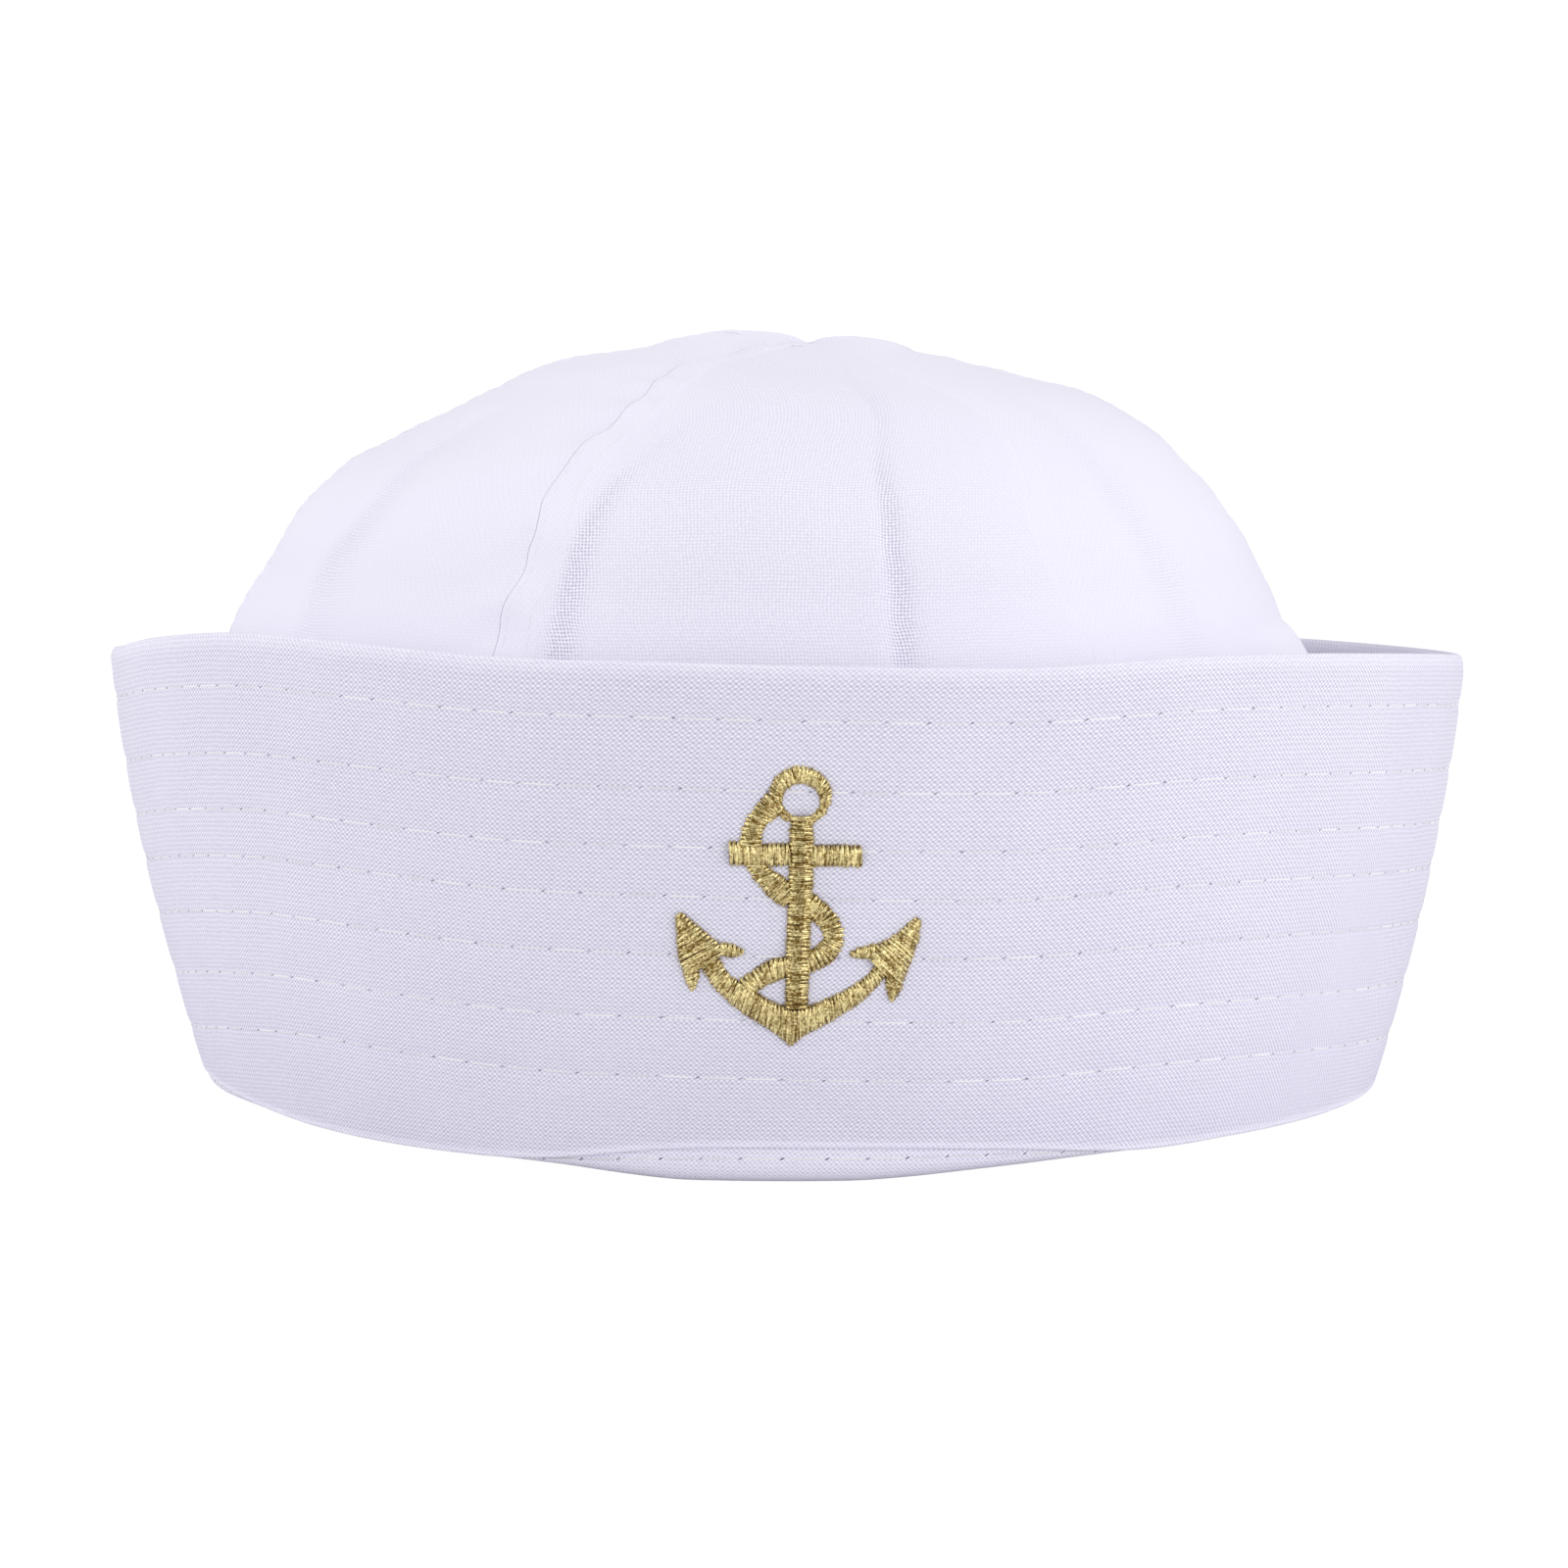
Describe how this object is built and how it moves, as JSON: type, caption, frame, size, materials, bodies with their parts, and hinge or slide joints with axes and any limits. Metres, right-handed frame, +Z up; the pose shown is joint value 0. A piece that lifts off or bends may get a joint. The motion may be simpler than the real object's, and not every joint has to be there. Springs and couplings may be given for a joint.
{
  "type": "sailor cap",
  "caption": "Soft white cotton sailor cap with a round gored crown, a deep stitched turned-up brim and a gold embroidered anchor.",
  "frame": {"origin": "middle of the cap's outline where it stands on the surface", "axes": "+Z up, -Y to the front with the anchor, +X to the right of a viewer who faces the anchor"},
  "size_m": [0.2194, 0.2324, 0.1231],
  "materials": {
    "crown_cotton": "matte",
    "brim_cotton": "matte",
    "gold_thread": "satin"
  },
  "bodies": {
    "root": {"gore_front": "crown_cotton", "gore_right_front": "crown_cotton", "gore_right_back": "crown_cotton", "gore_back": "crown_cotton", "gore_left_back": "crown_cotton", "gore_left_front": "crown_cotton", "brim": "brim_cotton", "anchor_embroidery": "gold_thread"}
  },
  "joints": []
}
